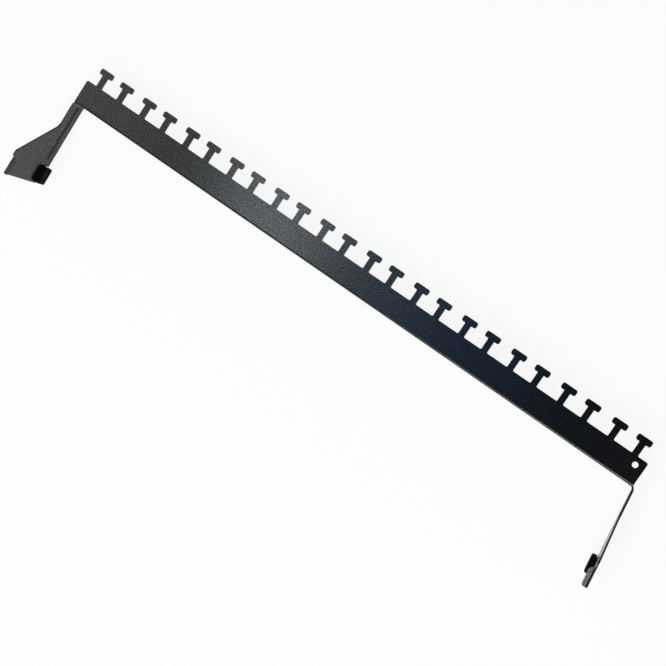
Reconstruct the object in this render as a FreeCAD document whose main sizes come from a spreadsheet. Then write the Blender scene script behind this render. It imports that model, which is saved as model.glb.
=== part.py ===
import FreeCAD, Part
import math
import operator
import os
import Sketcher
from types import SimpleNamespace

# Rear cable lacing bar for a one-unit 19 inch patch panel: one folded steel sheet, with a row
# of T-shaped fingers and a clip arm at each end, and a rubber boot on each arm's rear tab.
#
# Frame: X runs along the bar, +Y is the way the fingers point, and +Z is up as the part lies
# on its back. The origin is the middle of the flange's free edge, on its outer face.
# Lengths are millimetres and angles degrees.

Vector = FreeCAD.Vector

# Every driving size: name, value, meaning.
SIZES = [
    ("thickness", 1.2, "steel sheet"),
    ("fold_radius", 0.4, "inside radius of the long fold and of the tabs' folds"),
    ("relief_width", 0.5, "slots that let a fold end cleanly"),
    ("relief_depth", 0.9, "how far a slot runs past its fold"),
    ("bar_width", 17.0, "face plate, from the flange's outer face to the fingers' feet"),
    ("flange_depth", 17.0, "flange's free edge to the face plate's front"),
    ("end_margin", 9.65, "last finger's centre to the bar's end"),
    ("bar_corner", 1.3, "rounding of the face plate's free corners"),
    ("finger_pairs", 12, "24 fingers, one for each port of the panel"),
    ("pair_pitch", 36.5, "from one pair of fingers to the next"),
    ("pair_gap", 17.2, "between the centres of the two fingers of a pair"),
    ("stem_width", 4.3, "finger's stem"),
    ("stem_foot", 0.8, "fillet where a stem leaves the bar"),
    ("stem_neck", 0.5, "fillet where a stem meets its head"),
    ("finger_height", 12.2, "finger, foot to tip"),
    ("head_width", 10.4, "finger's head, across the finger"),
    ("head_height", 4.1, "finger's head, along the finger"),
    ("head_corner", 1.3, "rounding of the head's corners"),
    ("hole_diameter", 3.8, "hanging hole"),
    ("hole_from_end", 6.0, "hanging hole's centre to the bar's end"),
    ("hole_from_feet", 5.0, "hanging hole's centre to the line of the fingers' feet"),
    ("arm_clearance", 0.5, "arm's inner face beyond the bar's end"),
    ("arm_bend", 2.4, "inside radius of the fold from flange to arm"),
    ("arm_reach", 61.5, "from the flange's outer face to the arm's end, along the arm"),
    ("left_splay", -0.9, "left arm's lean outwards from square"),
    ("right_splay", 8.5, "right arm's lean outwards from square"),
    ("flare_start", 18.7, "flange to where the arm starts to widen"),
    ("flare_bend", 6.0, "rounding where the arm starts to widen"),
    ("peak_length", 3.1, "straight front edge above the front tab"),
    ("peak_corner", 2.5, "rounding at the top of the flare"),
    ("peak_step", 0.6, "how far that edge stands in front of the front tab"),
    ("peak_slope", 1.1, "length of the slope from that edge down to the front tab's slot"),
    ("clip_height", 45.6, "rear edge to the front tab's outer face"),
    ("front_tab_length", 12.3, "front tab, along the arm"),
    ("front_tab_width", 3.0, "front tab, from the arm's inner face to its free edge"),
    ("front_tab_near_corner", 2.8, "rounding of the corner nearer the bar"),
    ("front_tab_far_corner", 1.8, "rounding of the corner at the arm's end"),
    ("rear_tab_from_end", 2.1, "rear tab's end to the arm's end"),
    ("rear_tab_length", 10.2, "rear tab, along the arm"),
    ("rear_tab_width", 2.8, "rear tab, from the arm's inner face to its free edge"),
    ("rear_tab_setback", 1.2, "rear edge to the rear tab's back face"),
    ("rear_corner", 2.0, "rounding of the arm's rear corner"),
    ("bead_width", 3.6, "groove of the stiffening bead pressed into the arm"),
    ("bead_depth", 0.75, "bead's groove, on the arm's inside"),
    ("bead_rise", 0.4, "bead's ridge on the arm's outside, lower because pressing stretches the sheet"),
    ("bead_round", 0.3, "rounding along the ridge's crest"),
    ("bead_start", 1.6, "flange to the bead's near end"),
    ("bead_to_boot", 4.8, "bead's far end to the boot"),
    ("boot_wall", 1.0, "rubber past the rear tab's two ends and its free edge"),
    ("boot_height", 7.4, "rubber boot, from back to front"),
    ("boot_side_corner", 1.3, "rounding of the boot's corners at its free side"),
    ("boot_front_corner", 0.8, "rounding round the boot's front"),
    ("boot_gap", 0.2, "step in the arm's rear edge to the boot"),
]

doc = FreeCAD.newDocument("lacing_bar")
sheet = doc.addObject("Spreadsheet::Sheet", "Sizes")
for row, (alias, value, meaning) in enumerate(SIZES, start=1):
    sheet.set(f"A{row}", alias)
    sheet.set(f"B{row}", str(value))
    sheet.set(f"C{row}", meaning)
    sheet.setAlias(f"B{row}", alias)
doc.recompute()


# ---- Measures: an expression in the sheet's names, with its present value ----------------

class Measure:
    def __init__(self, text, value):
        self.text = text
        self.value = value

    def __add__(self, other):
        return combined(self, "+", other)

    def __radd__(self, other):
        return combined(other, "+", self)

    def __sub__(self, other):
        return combined(self, "-", other)

    def __rsub__(self, other):
        return combined(other, "-", self)

    def __mul__(self, other):
        return combined(self, "*", other)

    def __rmul__(self, other):
        return combined(other, "*", self)

    def __truediv__(self, other):
        return combined(self, "/", other)

    def __neg__(self):
        return combined(0, "-", self)


OPERATORS = {"+": operator.add, "-": operator.sub, "*": operator.mul, "/": operator.truediv}


def measure(amount):
    return amount if isinstance(amount, Measure) else Measure(str(amount), amount)


def combined(left, sign, right):
    left, right = measure(left), measure(right)
    return Measure(f"({left.text} {sign} {right.text})", OPERATORS[sign](left.value, right.value))


def sine(angle):
    return Measure(f"sin({angle.text})", math.sin(math.radians(angle.value)))


def cosine(angle):
    return Measure(f"cos({angle.text})", math.cos(math.radians(angle.value)))


def tangent(angle):
    return Measure(f"tan({angle.text})", math.tan(math.radians(angle.value)))


def bind(item, path, amount):
    item.setExpression(path, measure(amount).text)


S = SimpleNamespace(**{alias: Measure(f"Sizes.{alias}", value) for alias, value, _ in SIZES})

# Measures that several features share.
BAR_LENGTH = (S.finger_pairs - 1) * S.pair_pitch + S.pair_gap + 2 * S.end_margin
FOLD_OUTSIDE = S.fold_radius + S.thickness
FOLD_START = S.flange_depth - FOLD_OUTSIDE
ARM_WIDTH = FOLD_START - S.relief_width
ARM_FOOT = BAR_LENGTH / 2 + S.arm_clearance
PEAK_HEIGHT = S.clip_height + S.peak_step
FRONT_TAB_START = S.arm_reach - S.front_tab_length
FRONT_NOTCH = S.clip_height - FOLD_OUTSIDE - S.relief_width
PEAK_END = FRONT_TAB_START - S.relief_width - S.peak_slope
PEAK_START = PEAK_END - S.peak_length
REAR_TAB_END = S.arm_reach - S.rear_tab_from_end
REAR_TAB_START = REAR_TAB_END - S.rear_tab_length
REAR_NOTCH = S.rear_tab_setback + FOLD_OUTSIDE + S.relief_width
BOOT_START = REAR_TAB_START - S.boot_wall
BOOT_END = REAR_TAB_END + S.boot_wall
BOOT_WIDTH = S.rear_tab_width + S.boot_wall

# The two arms: name, side of the bar, lean outwards.
ARMS = [("left", -1, S.left_splay), ("right", 1, S.right_splay)]


# ---- Sketches ---------------------------------------------------------------------------

def new_sketch(body, name, role, offset=None, turn=None):
    """A sketch on one of the body's origin planes, shifted by measures and turned if asked."""
    sketch = body.newObject("Sketcher::SketchObject", name)
    support = next(item for item in body.Origin.OriginFeatures if item.Role == role)
    sketch.AttachmentSupport = [(support, "")]
    sketch.MapMode = "FlatFace"
    if turn:
        axis, angle = turn
        sketch.AttachmentOffset = FreeCAD.Placement(Vector(), FreeCAD.Rotation(axis, 1))
        bind(sketch, ".AttachmentOffset.Rotation.Angle", angle)
    for letter, amount in (offset or {}).items():
        bind(sketch, f".AttachmentOffset.Base.{letter}", amount)
    return sketch


def constrain(sketch, kind, *items, amount=None):
    """A constraint, bound to a measure where it has an amount."""
    if amount is None:
        sketch.addConstraint(Sketcher.Constraint(kind, *items))
    else:
        index = sketch.addConstraint(Sketcher.Constraint(kind, *items, measure(amount).value))
        bind(sketch, f"Constraints[{index}]", amount)


def hold(sketch, element, point, x, y):
    """Holds a point of the sketch at a place."""
    constrain(sketch, "DistanceX", -1, 1, element, point, amount=x)
    constrain(sketch, "DistanceY", -1, 1, element, point, amount=y)


def draw_outline(sketch, corners):
    """A closed outline of straight sides. Each corner is (x, y), or (x, y, radius) if round."""
    count = len(corners)
    spots = [Vector(measure(x).value, measure(y).value, 0) for x, y, *_ in corners]
    radii = [corner[2] if len(corner) > 2 else None for corner in corners]
    starts, ends, arcs = [], [], []
    for number, (spot, radius) in enumerate(zip(spots, radii)):
        before = (spots[number - 1] - spot).normalize()
        after = (spots[(number + 1) % count] - spot).normalize()
        if radius is None:
            starts.append(spot)
            ends.append(spot)
            arcs.append(None)
            continue
        half_angle = before.getAngle(after) / 2
        setback = radius.value / math.tan(half_angle)
        ends.append(spot + before * setback)
        starts.append(spot + after * setback)
        bisector = (before + after).normalize()
        centre = spot + bisector * (radius.value / math.sin(half_angle))
        middle = centre - bisector * radius.value
        arcs.append(Part.Arc(ends[-1], middle, starts[-1]))

    sides = [sketch.addGeometry(Part.LineSegment(starts[number], ends[(number + 1) % count]), False)
             for number in range(count)]
    for number, (x, y, *_) in enumerate(corners):
        side, side_before = sides[number], sides[number - 1]
        if arcs[number] is None:
            constrain(sketch, "Coincident", side_before, 2, side, 1)
            hold(sketch, side, 1, x, y)
            continue
        arc = sketch.addGeometry(arcs[number], False)
        # An arc always runs anticlockwise, so its start lies on the side after a right turn.
        first, last = (1, 2) if (sketch.getPoint(arc, 1) - ends[number]).Length < 1e-6 else (2, 1)
        constrain(sketch, "Tangent", side_before, 2, arc, first)
        constrain(sketch, "Tangent", side, 1, arc, last)
        constrain(sketch, "Radius", arc, amount=radii[number])
        point = sketch.addGeometry(Part.Point(spots[number]), True)
        constrain(sketch, "PointOnObject", point, 1, side_before)
        constrain(sketch, "PointOnObject", point, 1, side)
        hold(sketch, point, 1, x, y)


def draw_slot(sketch, start, end, level, width):
    """A round-ended slot along the sketch's X axis, from start to end, centred on level."""
    radius = width / 2
    near, far = start + radius, end - radius
    low, high = level - radius, level + radius
    up = Vector(0, 0, 1)
    corners = [Vector(x.value, y.value, 0) for x, y in ((near, low), (far, low), (far, high), (near, high))]
    left = Part.Circle(Vector(near.value, level.value, 0), up, radius.value)
    right = Part.Circle(Vector(far.value, level.value, 0), up, radius.value)
    quarter = math.pi / 2
    near_arc = sketch.addGeometry(Part.ArcOfCircle(left, quarter, 3 * quarter), False)
    far_arc = sketch.addGeometry(Part.ArcOfCircle(right, -quarter, quarter), False)
    low_side = sketch.addGeometry(Part.LineSegment(corners[0], corners[1]), False)
    high_side = sketch.addGeometry(Part.LineSegment(corners[2], corners[3]), False)
    constrain(sketch, "Tangent", near_arc, 2, low_side, 1)
    constrain(sketch, "Tangent", low_side, 2, far_arc, 1)
    constrain(sketch, "Tangent", far_arc, 2, high_side, 1)
    constrain(sketch, "Tangent", high_side, 2, near_arc, 1)
    constrain(sketch, "Equal", near_arc, far_arc)
    constrain(sketch, "Radius", near_arc, amount=radius)
    hold(sketch, near_arc, 3, near, level)
    constrain(sketch, "DistanceX", -1, 1, far_arc, 3, amount=far)


def lifted(sketch, x, y, height):
    """A place beside the sketch, from its own X and Y and its height off the sketch's plane."""
    return sketch.Placement.multVec(Vector(*(measure(amount).value for amount in (x, y, height))))


# ---- Features ---------------------------------------------------------------------------

def new_body(label):
    body = doc.addObject("PartDesign::Body", "".join(word.title() for word in label.split("_")))
    body.Label = label
    return body


def extrude(body, kind, name, sketch, length=None, reverse=False, symmetric=False):
    """A Pad or a Pocket of the sketch. A Pocket with no length goes through everything."""
    feature = body.newObject(f"PartDesign::{kind}", name)
    feature.Profile = sketch
    feature.Reversed = reverse
    feature.SideType = "Symmetric" if symmetric else "One side"
    if length is None:
        feature.Type = "ThroughAll"
    else:
        bind(feature, "Length", length)
    doc.recompute()
    return feature


def turn_away(body, name, sketch, start, end):
    """Cuts away the sketch, turned about the line from start to end."""
    axis = sketch.addGeometry(Part.LineSegment(*(Vector(x.value, y.value, 0) for x, y in (start, end))), True)
    hold(sketch, axis, 1, *start)
    hold(sketch, axis, 2, *end)
    feature = body.newObject("PartDesign::Groove", name)
    feature.Profile = sketch
    feature.ReferenceAxis = (sketch, ["Axis0"])
    doc.recompute()


def round_edges(body, name, radius, edges):
    """A fillet of the named edges of the body's latest feature."""
    base = body.Tip
    fillet = body.newObject("PartDesign::Fillet", name)
    fillet.Base = (base, edges)
    bind(fillet, "Radius", radius)
    doc.recompute()


def edges_through(shape, points):
    """Names of the straight edges that pass through the points, one for each."""
    straight = [(f"Edge{number}", edge.Vertexes[0].Point, edge.Vertexes[-1].Point)
                for number, edge in enumerate(shape.Edges, start=1)
                if isinstance(edge.Curve, Part.Line)]
    names = []
    for point in points:
        found = [name for name, start, end in straight
                 if (point - start).Length + (end - point).Length - (end - start).Length < 1e-5]
        if len(found) != 1:
            raise ValueError(f"{len(found)} edges pass through {point}")
        names += found
    return names


def edges_on_plane(shape, point, normal):
    """Names of the edges that lie wholly on a plane."""
    names = []
    for number, edge in enumerate(shape.Edges, start=1):
        middle = edge.valueAt((edge.FirstParameter + edge.LastParameter) / 2)
        marks = [vertex.Point for vertex in edge.Vertexes] + [middle]
        if all(abs((mark - point).dot(normal)) < 1e-5 for mark in marks):
            names.append(f"Edge{number}")
    return names


# ---- The folded bar ---------------------------------------------------------------------

def add_plate(body):
    """The L-section: the face plate in front and the flange behind it, with one long fold."""
    section = new_sketch(body, "BarSection", "YZ_Plane")
    back = S.flange_depth - S.thickness
    draw_outline(section, [
        (0, 0),
        (S.thickness, 0),
        (S.thickness, back, S.fold_radius),
        (S.bar_width, back),
        (S.bar_width, S.flange_depth),
        (0, S.flange_depth, FOLD_OUTSIDE),
    ])
    extrude(body, "Pad", "Bar", section, BAR_LENGTH, symmetric=True)
    corners = [Vector(end * BAR_LENGTH.value / 2, S.bar_width.value, (back + S.thickness / 2).value)
               for end in (-1, 1)]
    round_edges(body, "BarCorners", S.bar_corner, edges_through(body.Tip.Shape, corners))


def add_hole(body):
    """The hanging hole at the right end."""
    drawing = new_sketch(body, "HangingHoleCircle", "XY_Plane", {"z": S.flange_depth})
    x, y = BAR_LENGTH / 2 - S.hole_from_end, S.bar_width - S.hole_from_feet
    rim = Part.Circle(Vector(x.value, y.value, 0), Vector(0, 0, 1), S.hole_diameter.value / 2)
    circle = drawing.addGeometry(rim, False)
    constrain(drawing, "Diameter", circle, amount=S.hole_diameter)
    hold(drawing, circle, 3, x, y)
    extrude(body, "Pocket", "HangingHole", drawing)


def add_fingers(body):
    """One pair of T-shaped fingers at the left end, repeated along the bar."""
    pair = new_sketch(body, "FingerPair", "XY_Plane", {"z": S.flange_depth - S.thickness})
    stem, head = S.stem_width / 2, S.head_width / 2
    root = S.bar_width - S.stem_foot
    shoulder = stem + 2 * S.stem_foot
    tip = S.bar_width + S.finger_height
    neck = tip - S.head_height
    for half in (-1, 1):
        centre = half * S.pair_gap / 2 - (S.finger_pairs - 1) * S.pair_pitch / 2
        draw_outline(pair, [
            (centre - shoulder, root),
            (centre + shoulder, root),
            (centre + shoulder, S.bar_width),
            (centre + stem, S.bar_width, S.stem_foot),
            (centre + stem, neck, S.stem_neck),
            (centre + head, neck, S.head_corner),
            (centre + head, tip, S.head_corner),
            (centre - head, tip, S.head_corner),
            (centre - head, neck, S.head_corner),
            (centre - stem, neck, S.stem_neck),
            (centre - stem, S.bar_width, S.stem_foot),
            (centre - shoulder, S.bar_width),
        ])
    fingers = extrude(body, "Pad", "Fingers", pair, S.thickness)
    row = body.newObject("PartDesign::LinearPattern", "FingerRow")
    row.Originals = [fingers]
    row.Direction = (pair, ["H_Axis"])
    row.Mode = "Spacing"
    bind(row, "Offset", S.pair_pitch)
    bind(row, "Occurrences", S.finger_pairs)
    body.Tip = row
    doc.recompute()


def add_arm(body, name, side, splay):
    """One arm: folded down off the flange's end, then flared forwards to carry two tabs."""
    prefix = name.title()
    foot = side * ARM_FOOT
    flange_end = ARM_FOOT - S.arm_bend * tangent((90 - splay) / 2) - S.relief_depth
    past_end = BAR_LENGTH / 2 + S.relief_depth

    # The flange stops short of the fold, and leaves a slot beside the long fold.
    clearance = new_sketch(body, f"{prefix}FlangeEnd", "XZ_Plane")
    draw_outline(clearance, [
        (side * flange_end, -S.relief_width),
        (side * past_end, -S.relief_width),
        (side * past_end, FOLD_START),
        (side * flange_end, FOLD_START),
    ])
    extrude(body, "Pocket", f"{prefix}Relief", clearance)

    # The fold and the arm's narrow part: a bent strip, seen along Z.
    strip = new_sketch(body, f"{prefix}Strip", "XY_Plane")
    strip_start = flange_end - S.relief_depth
    leg_x, leg_y = ARM_FOOT + S.flare_start * sine(splay), -S.flare_start * cosine(splay)
    draw_outline(strip, [
        (side * strip_start, 0),
        (foot, 0, S.arm_bend),
        (side * leg_x, leg_y),
        (side * (leg_x + S.thickness * cosine(splay)), leg_y + S.thickness * sine(splay)),
        (side * (ARM_FOOT + S.thickness * cosine(splay) / (1 + sine(splay))), S.thickness,
         S.arm_bend + S.thickness),
        (side * strip_start, S.thickness),
    ])
    extrude(body, "Pad", f"{prefix}Leg", strip, ARM_WIDTH)

    # The flared part, drawn on the arm's inner face: X runs back up the arm, Y is the bar's Z.
    arm_plane = ({"z": foot}, (Vector(0, 1, 0), side * splay))
    inwards = side < 0
    step = BOOT_START - S.boot_gap
    flare = new_sketch(body, f"{prefix}Flare", "YZ_Plane", *arm_plane)
    draw_outline(flare, [
        (-S.flare_start, 0),
        (-S.flare_start, ARM_WIDTH),
        (-PEAK_START, PEAK_HEIGHT, S.peak_corner),
        (-PEAK_END, PEAK_HEIGHT),
        (-(FRONT_TAB_START - S.relief_width), S.clip_height),
        (-(FRONT_TAB_START - S.relief_width), FRONT_NOTCH),
        (-FRONT_TAB_START, FRONT_NOTCH),
        (-FRONT_TAB_START, S.clip_height),
        (-S.arm_reach, S.clip_height),
        (-S.arm_reach, REAR_NOTCH, S.rear_corner),
        (-REAR_TAB_END, REAR_NOTCH),
        (-REAR_TAB_END, S.rear_tab_setback),
        (-REAR_TAB_START, S.rear_tab_setback),
        (-REAR_TAB_START, REAR_NOTCH),
        (-step, REAR_NOTCH),
        (-step, 0),
    ])
    extrude(body, "Pad", f"{prefix}Flag", flare, S.thickness, reverse=inwards)
    kink = lifted(flare, -S.flare_start, ARM_WIDTH, side * S.thickness / 2)
    round_edges(body, f"{prefix}FlareBend", S.flare_bend, edges_through(body.Tip.Shape, [kink]))

    # The two tabs, drawn on their back faces and seen along Z.
    outer = side * S.thickness
    flat_turn = (Vector(0, 0, 1), side * splay)
    front_inner = -side * S.front_tab_width
    front_back = {"x": foot, "z": S.clip_height - S.thickness}
    front_tab = new_sketch(body, f"{prefix}FrontTab", "XY_Plane", front_back, flat_turn)
    draw_outline(front_tab, [
        (outer, -FRONT_TAB_START),
        (outer, -S.arm_reach),
        (front_inner, -S.arm_reach, S.front_tab_far_corner),
        (front_inner, -FRONT_TAB_START, S.front_tab_near_corner),
    ])
    extrude(body, "Pad", f"{prefix}FrontTabPad", front_tab, S.thickness)

    rear_back = {"x": foot, "z": S.rear_tab_setback}
    rear_tab = new_sketch(body, f"{prefix}RearTab", "XY_Plane", rear_back, flat_turn)
    draw_outline(rear_tab, rear_tab_outline(side, outer))
    extrude(body, "Pad", f"{prefix}RearTabPad", rear_tab, S.thickness)

    front_middle = -(FRONT_TAB_START + S.arm_reach) / 2
    rear_middle = -(REAR_TAB_START + REAR_TAB_END) / 2
    inside = [lifted(front_tab, 0, front_middle, 0), lifted(rear_tab, 0, rear_middle, S.thickness)]
    outside = [lifted(front_tab, outer, front_middle, S.thickness), lifted(rear_tab, outer, rear_middle, 0)]
    round_edges(body, f"{prefix}TabsInside", S.fold_radius, edges_through(body.Tip.Shape, inside))
    round_edges(body, f"{prefix}TabsOutside", FOLD_OUTSIDE, edges_through(body.Tip.Shape, outside))

    # The bead pressed down the arm: a ridge outside, and a round-bottomed groove inside that is
    # turned about a line in front of the sheet.
    level = ARM_WIDTH / 2
    run_start = S.bead_start + S.bead_width / 2
    run_end = BOOT_START - S.bead_to_boot - S.bead_width / 2
    ridge_width = S.bead_width - S.thickness / 2
    ridge = new_sketch(body, f"{prefix}Ridge", "YZ_Plane", *arm_plane)
    draw_slot(ridge, -run_end - ridge_width / 2, -run_start + ridge_width / 2, level, ridge_width)
    extrude(body, "Pad", f"{prefix}RidgePad", ridge, S.thickness + S.bead_rise, reverse=inwards)
    outwards = lifted(ridge, 0, 0, side) - lifted(ridge, 0, 0, 0)
    crest = lifted(ridge, 0, 0, side * (S.thickness + S.bead_rise))
    round_edges(body, f"{prefix}RidgeCrest", S.bead_round, edges_on_plane(body.Tip.Shape, crest, outwards))
    axis_off = S.bead_width * S.bead_width / (8 * S.bead_depth) - S.bead_depth / 2
    near, far = axis_off - run_start, -run_end - axis_off
    groove = new_sketch(body, f"{prefix}Groove", "XY_Plane", {"x": foot, "z": level}, flat_turn)
    draw_outline(groove, [
        (-side * axis_off, near),
        (side * S.bead_depth, near, axis_off),
        (side * S.bead_depth, far, axis_off),
        (-side * axis_off, far),
    ])
    turn_away(body, f"{prefix}GrooveTurned", groove, (-side * axis_off, near), (-side * axis_off, far))


def rear_tab_outline(side, start):
    """The rear tab seen along Z in the arm's frame, from start to its free edge."""
    return [
        (start, -REAR_TAB_START),
        (start, -REAR_TAB_END),
        (-side * S.rear_tab_width, -REAR_TAB_END),
        (-side * S.rear_tab_width, -REAR_TAB_START),
    ]


# ---- The rubber boots -------------------------------------------------------------------

def make_boot(name, side, splay):
    """A rubber boot pushed over the rear tab, flush with the arm's rear edge.

    It is drawn in the arm's own frame: Y runs back up the arm, and Z is the bar's Z."""
    body = new_body(f"rubber_boot_{name}")
    prefix = f"{name.title()}Boot"
    body.Placement = FreeCAD.Placement(Vector(), FreeCAD.Rotation(Vector(0, 0, 1), 1))
    bind(body, ".Placement.Base.x", side * ARM_FOOT)
    bind(body, ".Placement.Rotation.Angle", side * splay)

    # It starts where the tab's fold ends.
    mouth, free = -side * S.fold_radius, -side * BOOT_WIDTH
    outline = new_sketch(body, f"{prefix}Outline", "XY_Plane")
    draw_outline(outline, [
        (mouth, -BOOT_START),
        (mouth, -BOOT_END),
        (free, -BOOT_END, S.boot_side_corner),
        (free, -BOOT_START, S.boot_side_corner),
    ])
    extrude(body, "Pad", f"{prefix}Block", outline, S.boot_height)
    rim = lifted(outline, free, -(BOOT_START + BOOT_END) / 2, S.boot_height)
    round_edges(body, f"{prefix}Front", S.boot_front_corner, edges_through(body.Tip.Shape, [rim]))
    pocket = new_sketch(body, f"{prefix}Mouth", "XY_Plane", {"z": S.rear_tab_setback})
    draw_outline(pocket, rear_tab_outline(side, mouth))
    extrude(body, "Pocket", f"{prefix}Pocket", pocket, S.thickness, reverse=True)
    return body


# ---- Build and write --------------------------------------------------------------------

bar = new_body("lacing_bar")
add_plate(bar)
add_hole(bar)
for arm, side, splay in ARMS:
    add_arm(bar, arm, side, splay)
add_fingers(bar)
pieces = [bar] + [make_boot(arm, side, splay) for arm, side, splay in ARMS]
doc.recompute()

failed = [item.Name for item in doc.Objects if "Invalid" in item.State or "Error" in item.State]
if failed:
    raise RuntimeError(f"features that failed: {failed}")
for piece in pieces:
    if piece.Shape.isNull() or not piece.Shape.isValid() or len(piece.Shape.Solids) != 1:
        raise RuntimeError(f"{piece.Label} is not one valid solid")

os.makedirs("parts", exist_ok=True)
for piece in pieces:
    piece.Shape.exportStep(f"parts/{piece.Label}.step")
    box = piece.Shape.BoundBox
    print(f"{piece.Label}: {piece.Shape.Volume:.1f} mm3,"
          f" X {box.XMin:.2f}..{box.XMax:.2f}, Y {box.YMin:.2f}..{box.YMax:.2f},"
          f" Z {box.ZMin:.2f}..{box.ZMax:.2f}")
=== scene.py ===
import bpy
import math
from mathutils import Matrix, Vector


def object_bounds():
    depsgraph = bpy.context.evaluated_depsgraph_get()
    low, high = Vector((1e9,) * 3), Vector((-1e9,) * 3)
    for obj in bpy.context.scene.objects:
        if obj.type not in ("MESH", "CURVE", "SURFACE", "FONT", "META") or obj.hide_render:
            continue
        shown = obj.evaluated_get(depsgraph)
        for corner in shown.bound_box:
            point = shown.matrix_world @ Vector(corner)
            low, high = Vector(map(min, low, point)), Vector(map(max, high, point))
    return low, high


# Looks for a black powder-coated cable lacing bar with rubber boots on its two clip arms.
# Everything is in metres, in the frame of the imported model.

MM = 0.001

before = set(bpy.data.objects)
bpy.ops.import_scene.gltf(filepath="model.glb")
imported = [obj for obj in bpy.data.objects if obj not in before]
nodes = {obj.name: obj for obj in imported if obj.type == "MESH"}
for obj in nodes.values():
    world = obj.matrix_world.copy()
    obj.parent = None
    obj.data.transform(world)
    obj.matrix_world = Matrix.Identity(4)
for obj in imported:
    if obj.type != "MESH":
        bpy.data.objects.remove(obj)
cad_low, cad_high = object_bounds()
scene = bpy.context.scene


# ---- Shader helpers ---------------------------------------------------------------------

class Shader:
    """A node material, with short calls for the nodes that it needs."""

    def __init__(self, name):
        self.material = bpy.data.materials.new(name)
        self.material.use_nodes = True
        self.tree = self.material.node_tree
        self.tree.nodes.clear()
        self.output = self.node("ShaderNodeOutputMaterial")

    def node(self, kind, **settings):
        node = self.tree.nodes.new(kind)
        for key, value in settings.items():
            setattr(node, key, value)
        return node

    def put(self, socket, value):
        """Links an output to the socket, or sets the socket's own value."""
        if isinstance(value, bpy.types.NodeSocket):
            self.tree.links.new(value, socket)
        else:
            socket.default_value = value

    def place(self):
        """The place on the object, in metres."""
        return self.node("ShaderNodeTexCoord").outputs["Object"]

    def noise(self, size, detail):
        """Smooth noise, from 0 to 1, whose lumps are about size metres across."""
        noise = self.node("ShaderNodeTexNoise")
        self.put(noise.inputs["Vector"], self.place())
        noise.inputs["Scale"].default_value = 1 / size
        noise.inputs["Detail"].default_value = detail
        return noise.outputs["Fac"]

    def cells(self, size):
        """Distance to the nearest of scattered points about size metres apart, in units of size."""
        cells = self.node("ShaderNodeTexVoronoi")
        self.put(cells.inputs["Vector"], self.place())
        cells.inputs["Scale"].default_value = 1 / size
        return cells.outputs["Distance"]

    def spread(self, value, low, high, to_low=0.0, to_high=1.0):
        """Maps low..high of a value to to_low..to_high, held at both ends."""
        spread = self.node("ShaderNodeMapRange")
        self.put(spread.inputs["Value"], value)
        set_range(spread, low, high, to_low, to_high)
        return spread.outputs["Result"]

    def sum(self, *terms):
        total = terms[0]
        for term in terms[1:]:
            add = self.node("ShaderNodeMath", operation="ADD")
            self.put(add.inputs[0], total)
            self.put(add.inputs[1], term)
            total = add.outputs[0]
        return total

    def times(self, left, right):
        product = self.node("ShaderNodeMath", operation="MULTIPLY")
        self.put(product.inputs[0], left)
        self.put(product.inputs[1], right)
        return product.outputs[0]

    def blend(self, amount, first, second):
        """A colour between two, by amount."""
        mix = self.node("ShaderNodeMix", data_type="RGBA")
        self.put(mix.inputs["Factor"], amount)
        self.put(mix.inputs["A"], first)
        self.put(mix.inputs["B"], second)
        return mix.outputs["Result"]

    def bump(self, height, distance):
        """Relief whose height runs from 0 to distance metres as the value runs from 0 to 1."""
        bump = self.node("ShaderNodeBump")
        self.put(bump.inputs["Height"], height)
        bump.inputs["Distance"].default_value = distance
        return bump.outputs["Normal"]

    def surface(self, **sockets):
        """The finished surface. A socket is named with an underscore for each space."""
        surface = self.node("ShaderNodeBsdfPrincipled")
        for name, value in sockets.items():
            self.put(surface.inputs[name.replace("_", " ")], value)
        self.put(self.output.inputs["Surface"], surface.outputs["BSDF"])


def set_range(node, low, high, to_low, to_high):
    """Sets the four limits of a Map Range node."""
    names = ("From Min", "From Max", "To Min", "To Max")
    for name, amount in zip(names, (low, high, to_low, to_high)):
        node.inputs[name].default_value = amount


def colour(red, green, blue):
    """A colour from its values on a 0 to 255 screen scale."""
    def linear(value):
        value /= 255
        return value / 12.92 if value <= 0.04045 else ((value + 0.055) / 1.055) ** 2.4
    return (linear(red), linear(green), linear(blue), 1.0)


# ---- Materials --------------------------------------------------------------------------

# The coat's relief: fine grains, pimples and a slow orange peel. The pimples' height is a share of
# the grains'.
GRAIN_SIZE, PIMPLE_SIZE, PEEL_SIZE = 1.0 * MM, 0.9 * MM, 5 * MM
PIMPLE_SHARE = 0.4
COAT_RELIEF = 0.033 * MM
# The sizes of the patches that differ in tone, in gloss and in roughness, and the glints' spacing.
TONE_SIZE, GLOSS_SIZE, ROUGH_SIZE, GLINT_SPACING = 2.2 * MM, 0.95 * MM, 1.1 * MM, 2.4 * MM
COAT_DARK, COAT_PALE = colour(11, 12, 13), colour(16, 17, 19)
COAT_SMOOTH, COAT_ROUGH = 0.175, 0.215
COAT_SPECULAR = 0.2
# The clear coat over the paint: its weight on the glossiest grains that aren't glints, and its
# roughness.
FULL_GLOSS = 0.8
CLEAR_ROUGHNESS = 0.195


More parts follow.
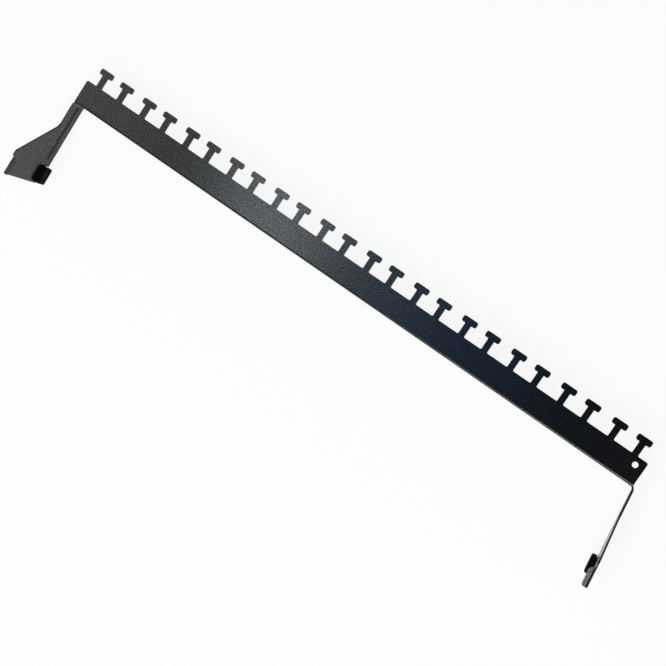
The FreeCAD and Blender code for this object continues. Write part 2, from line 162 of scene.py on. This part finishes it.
def powder_coat():
    """Black textured powder coat: half-gloss paint in fine grains, over a slow orange peel.

    Each grain mirrors a little more or less than its neighbours, and a few glint.
    """
    shader = Shader("powder_coat")
    grain = shader.noise(GRAIN_SIZE, detail=1.5)
    pimples = shader.spread(shader.cells(PIMPLE_SIZE), 0.0, 0.55, 1.0, 0.0)
    peel = shader.noise(PEEL_SIZE, detail=2.0)
    height = shader.sum(grain, shader.times(pimples, PIMPLE_SHARE), peel)
    tone = shader.spread(shader.noise(TONE_SIZE, detail=4.0), 0.35, 0.65)
    gloss = shader.spread(shader.noise(GLOSS_SIZE, detail=1.0), 0.3, 0.7, 0.0, FULL_GLOSS)
    glints = shader.spread(shader.cells(GLINT_SPACING), 0.04, 0.14, 1.0, 0.0)
    roughness = shader.noise(ROUGH_SIZE, detail=1.0)
    shader.surface(
        Base_Color=shader.blend(tone, COAT_DARK, COAT_PALE),
        Roughness=shader.spread(roughness, 0.36, 0.66, COAT_SMOOTH, COAT_ROUGH),
        Specular_IOR_Level=COAT_SPECULAR,
        Coat_Weight=shader.spread(shader.sum(gloss, glints), 0.0, 1.0),
        Coat_Roughness=CLEAR_ROUGHNESS,
        Normal=shader.bump(height, COAT_RELIEF),
    )
    return shader.material


# The boots' rubber: its grain, and the patches where handling has changed its tone and gloss.
RUBBER_GRAIN, HANDLING_SIZE = 0.35 * MM, 3 * MM
RUBBER_RELIEF = 0.02 * MM
RUBBER_DARK, RUBBER_PALE = colour(9, 10, 11), colour(14, 15, 17)
RUBBER_SMOOTH, RUBBER_ROUGH = 0.5, 0.68
RUBBER_SPECULAR = 0.04


def boot_rubber():
    """Deep black moulded rubber with a faint matt grain."""
    shader = Shader("boot_rubber")
    grain = shader.noise(RUBBER_GRAIN, detail=3.0)
    handling = shader.noise(HANDLING_SIZE, detail=2.0)
    tone = shader.spread(handling, 0.35, 0.65)
    shader.surface(
        Base_Color=shader.blend(tone, RUBBER_DARK, RUBBER_PALE),
        Roughness=shader.spread(handling, 0.3, 0.7, RUBBER_SMOOTH, RUBBER_ROUGH),
        Specular_IOR_Level=RUBBER_SPECULAR,
        Normal=shader.bump(grain, RUBBER_RELIEF),
    )
    return shader.material


def dress(node, material):
    """Gives a carried-over piece its material."""
    for slot in nodes[node].material_slots:
        slot.material = material


# ---- Stage ------------------------------------------------------------------------------

FLOOR_SIZE = 6.0
FLOOR_GAP = 0.02 * MM
FLOOR_COLOUR = (0.9, 0.9, 0.9, 1.0)
# The share of plain white in the floor, as the eye sees it and as the object mirrors it. The rest
# shows the shadows on it.
FLOOR_GLOW, MIRRORED_GLOW = 0.9, 0.5
WHITE = (1.0, 1.0, 1.0, 1.0)


def floor_white():
    """Pale floor that takes shadows, in part plain white to the eye and in reflections."""
    shader = Shader("pale_floor")
    path = shader.node("ShaderNodeLightPath").outputs
    eye = shader.sum(path["Is Camera Ray"], path["Is Transmission Ray"])
    seen = shader.times(eye, FLOOR_GLOW)
    mirrored = shader.times(path["Is Glossy Ray"], MIRRORED_GLOW)
    plain = shader.node("ShaderNodeBsdfDiffuse")
    plain.inputs["Color"].default_value = FLOOR_COLOUR
    glow = shader.node("ShaderNodeEmission")
    glow.inputs["Color"].default_value = WHITE
    glow.inputs["Strength"].default_value = 1.0
    mix = shader.node("ShaderNodeMixShader")
    shader.put(mix.inputs[0], shader.sum(seen, mirrored))
    shader.put(mix.inputs[1], plain.outputs[0])
    shader.put(mix.inputs[2], glow.outputs[0])
    shader.put(shader.output.inputs["Surface"], mix.outputs[0])
    return shader.material


def make_floor():
    """A square floor just below the object."""
    mesh = bpy.data.meshes.new("floor")
    half = FLOOR_SIZE / 2
    height = cad_low.z - FLOOR_GAP
    signs = ((-1, -1), (1, -1), (1, 1), (-1, 1))
    mesh.from_pydata([(half * x, half * y, height) for x, y in signs], [], [(0, 1, 2, 3)])
    floor = bpy.data.objects.new("floor", mesh)
    scene.collection.objects.link(floor)
    floor.data.materials.append(floor_white())


# The room: pale walls up to a height, given as the upward part of a direction, and a dim ceiling.
# To the eye it is plain white.
WALL_TOP, CEILING_START = 0.3, 0.6
WALL_LIGHT, CEILING_LIGHT = 0.8, 0.05


def make_world():
    world = bpy.data.worlds.new("studio")
    world.use_nodes = True
    scene.world = world
    tree = world.node_tree
    background = tree.nodes["Background"].inputs
    place = tree.nodes.new("ShaderNodeTexCoord")
    split = tree.nodes.new("ShaderNodeSeparateXYZ")
    level = tree.nodes.new("ShaderNodeMapRange")
    level.interpolation_type = "SMOOTHSTEP"
    set_range(level, WALL_TOP, CEILING_START, WALL_LIGHT, CEILING_LIGHT)
    tree.links.new(place.outputs["Generated"], split.inputs[0])
    tree.links.new(split.outputs["Z"], level.inputs["Value"])
    path = tree.nodes.new("ShaderNodeLightPath")
    strength = tree.nodes.new("ShaderNodeMath")
    strength.operation = "MAXIMUM"
    tree.links.new(level.outputs["Result"], strength.inputs[0])
    tree.links.new(path.outputs["Is Camera Ray"], strength.inputs[1])
    tree.links.new(strength.outputs[0], background["Strength"])
    background["Color"].default_value = WHITE


def softbox(name, place, aim, sides, brightness, tint):
    """A soft rectangular lamp of even brightness, which the camera itself doesn't see."""
    data = bpy.data.lights.new(name, "AREA")
    data.shape = "RECTANGLE"
    data.size, data.size_y = sides
    data.energy = brightness * math.pi * data.size * data.size_y
    data.color = tint
    lamp = bpy.data.objects.new(name, data)
    lamp.location = place
    lamp.rotation_euler = (Vector(aim) - Vector(place)).to_track_quat("-Z", "Y").to_euler()
    lamp.visible_camera = False
    scene.collection.objects.link(lamp)


# Strips of light hang across the bar, all at one height. Each is mirrored by a stretch of its face.
STRIP_Y, STRIP_HEIGHT, STRIP_LENGTH = -0.08, 1.2, 1.0


def strip(name, x, width, brightness, tint):
    """A strip's softbox, which faces straight down."""
    place, aim = (x, STRIP_Y, STRIP_HEIGHT), (x, STRIP_Y, 0.0)
    return (name, place, aim, (width, STRIP_LENGTH), brightness, tint)


# Each row is a softbox: name, place, the point that it faces, its two sides, its brightness
# against white, and its tint. A strip's row gives its x and its width instead of the middle three.
SOFTBOXES = [
    strip("key", -0.455, 0.19, 5.1, (0.88, 0.95, 1.0)),
    strip("sky", -0.2275, 0.145, 1.5, (0.35, 0.65, 1.0)),
    strip("dusk", -0.0475, 0.215, 0.65, (0.12, 0.42, 1.0)),
    strip("side", -1.085, 0.79, 1.65, (0.97, 1.0, 0.9)),
    ("window", (0.25, -1.05, 0.95), (0.0, 0.0, 0.0), (0.9, 0.6), 7.0, (1.0, 1.0, 1.0)),
    ("corner", (0.24, -0.092, 0.25), (0.24, -0.092, 0.0), (0.05, 0.05), 6.0, (0.95, 0.97, 1.0)),
]


# ---- Camera -----------------------------------------------------------------------------

# The camera stands above the bar and a little to its right, and its picture is rolled so that the
# bar runs from the top left to the bottom right. Angles are in degrees, and the lens and sensor
# are in the camera's own millimetres.
CAMERA_AIM = Vector((44.58, -16.76, 17.0)) * MM
CAMERA_DISTANCE = 753.6 * MM
CAMERA_ELEVATION = 77.83
CAMERA_HEADING = 28.52
CAMERA_ROLL = -84.21
SENSOR_WIDTH, LENS = 36.0, 65.28
SHIFT = (-0.0714, 0.0196)
NEAREST, FARTHEST = 0.05, 20.0


def turned(degrees, axis):
    return Matrix.Rotation(math.radians(degrees), 3, axis)


def make_camera():
    data = bpy.data.cameras.new("camera")
    data.sensor_width = SENSOR_WIDTH
    data.lens = LENS
    data.shift_x, data.shift_y = SHIFT
    data.clip_start, data.clip_end = NEAREST, FARTHEST
    camera = bpy.data.objects.new("camera", data)
    facing = turned(CAMERA_HEADING + 90, "Z") @ turned(90 - CAMERA_ELEVATION, "X")
    camera.rotation_euler = (facing @ turned(CAMERA_ROLL, "Z")).to_euler()
    camera.location = CAMERA_AIM + facing @ Vector((0, 0, CAMERA_DISTANCE))
    scene.collection.objects.link(camera)
    scene.camera = camera


# ---- Build ------------------------------------------------------------------------------

scene.view_settings.view_transform = "Standard"
coat, rubber = powder_coat(), boot_rubber()
dress("lacing_bar", coat)
dress("rubber_boot_left", rubber)
dress("rubber_boot_right", rubber)
make_floor()
make_world()
for box in SOFTBOXES:
    softbox(*box)
make_camera()
